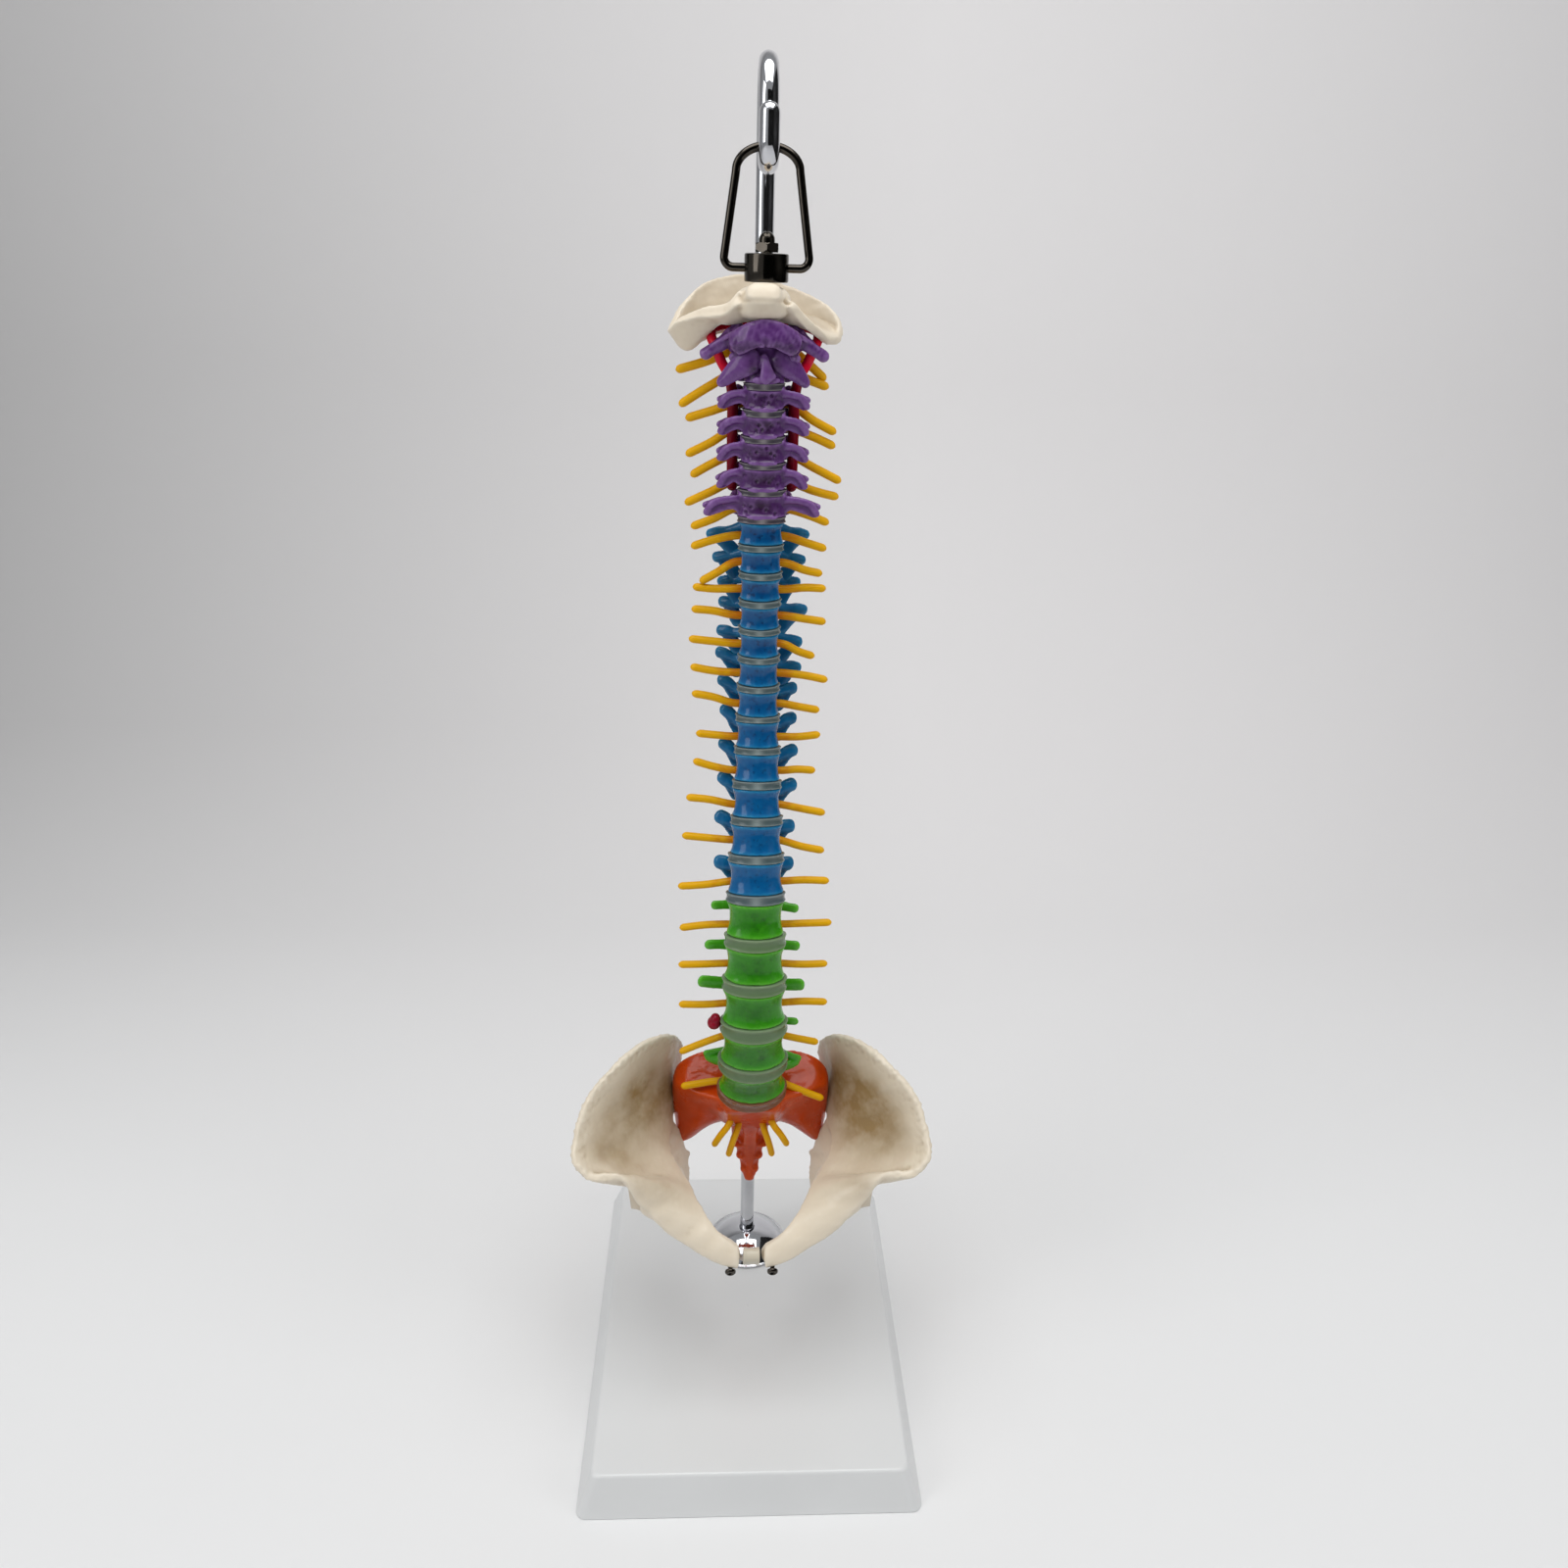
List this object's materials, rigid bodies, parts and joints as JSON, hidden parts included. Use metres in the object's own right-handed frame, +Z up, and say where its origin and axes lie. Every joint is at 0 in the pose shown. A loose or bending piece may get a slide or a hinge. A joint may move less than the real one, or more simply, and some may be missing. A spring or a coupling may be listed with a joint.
{
  "type": "spine anatomy model",
  "caption": "Hanging flexible spine with skull base, coloured regions, nerve roots and pelvis on a hooked rod and flat base.",
  "frame": {"origin": "middle of the base's underside", "axes": "+Z up along the rod, -Y to the front of the body, +X to the body's left as the viewer's right"},
  "size_m": [0.138, 0.167, 0.4866],
  "materials": {
    "white_styrene": "satin moulded",
    "chrome_steel": "bright chrome plate",
    "black_nickel": "black nickel plate",
    "ivory_pvc": "semi-matt moulded",
    "purple_pvc": "glossy moulded",
    "blue_pvc": "glossy moulded",
    "green_pvc": "glossy moulded",
    "orange_pvc": "semi-matt moulded",
    "yellow_nerve_pvc": "soft glossy",
    "red_artery_pvc": "soft glossy",
    "wine_disc_pvc": "soft glossy",
    "grey_disc_silicone": "translucent soft",
    "clear_disc_silicone": "translucent soft"
  },
  "bodies": {
    "stand": {"base_plate": "white_styrene", "rod_flange": "chrome_steel", "stand_rod": "chrome_steel", "rod_nut": "chrome_steel", "bail": "black_nickel"},
    "swivel": {"swivel_block": "black_nickel"},
    "column": {"cap_nut": "black_nickel", "symphysis_screw_left": "black_nickel", "symphysis_screw_right": "black_nickel", "occipital_bone": "ivory_pvc", "hip_bone_left": "ivory_pvc", "hip_bone_right": "ivory_pvc", "cervical_1_atlas": "purple_pvc", "cervical_2_axis": "purple_pvc", "cervical_3": "purple_pvc", "cervical_4": "purple_pvc", "cervical_5": "purple_pvc", "cervical_6": "purple_pvc", "cervical_7": "purple_pvc", "thoracic_1": "blue_pvc", "thoracic_2": "blue_pvc", "thoracic_3": "blue_pvc", "thoracic_4": "blue_pvc", "thoracic_5": "blue_pvc", "thoracic_6": "blue_pvc", "thoracic_7": "blue_pvc", "thoracic_8": "blue_pvc", "thoracic_9": "blue_pvc", "thoracic_10": "blue_pvc", "thoracic_11": "blue_pvc", "thoracic_12": "blue_pvc", "lumbar_1": "green_pvc", "lumbar_2": "green_pvc", "lumbar_3": "green_pvc", "lumbar_4": "green_pvc", "lumbar_5": "green_pvc", "sacrum_coccyx": "orange_pvc", "spinal_cord_nerves": "yellow_nerve_pvc", "artery_left": "red_artery_pvc", "artery_right": "red_artery_pvc", "disc_prolapse": "wine_disc_pvc", "column_core_discs": "grey_disc_silicone", "symphysis_disc": "clear_disc_silicone"}
  },
  "joints": [
    {"name": "bail_pivot", "type": "hinge", "parent": "stand", "child": "swivel", "pos_m": [0, 0.0085, 0.42769], "axis": [1, 0, 0], "range_deg": [-30, 0]},
    {"name": "column_swivel", "type": "hinge", "parent": "swivel", "child": "column", "pos_m": [0, 0.0085, 0.42769], "axis": [0, 0, 1], "range_deg": [-30, 30]}
  ]
}
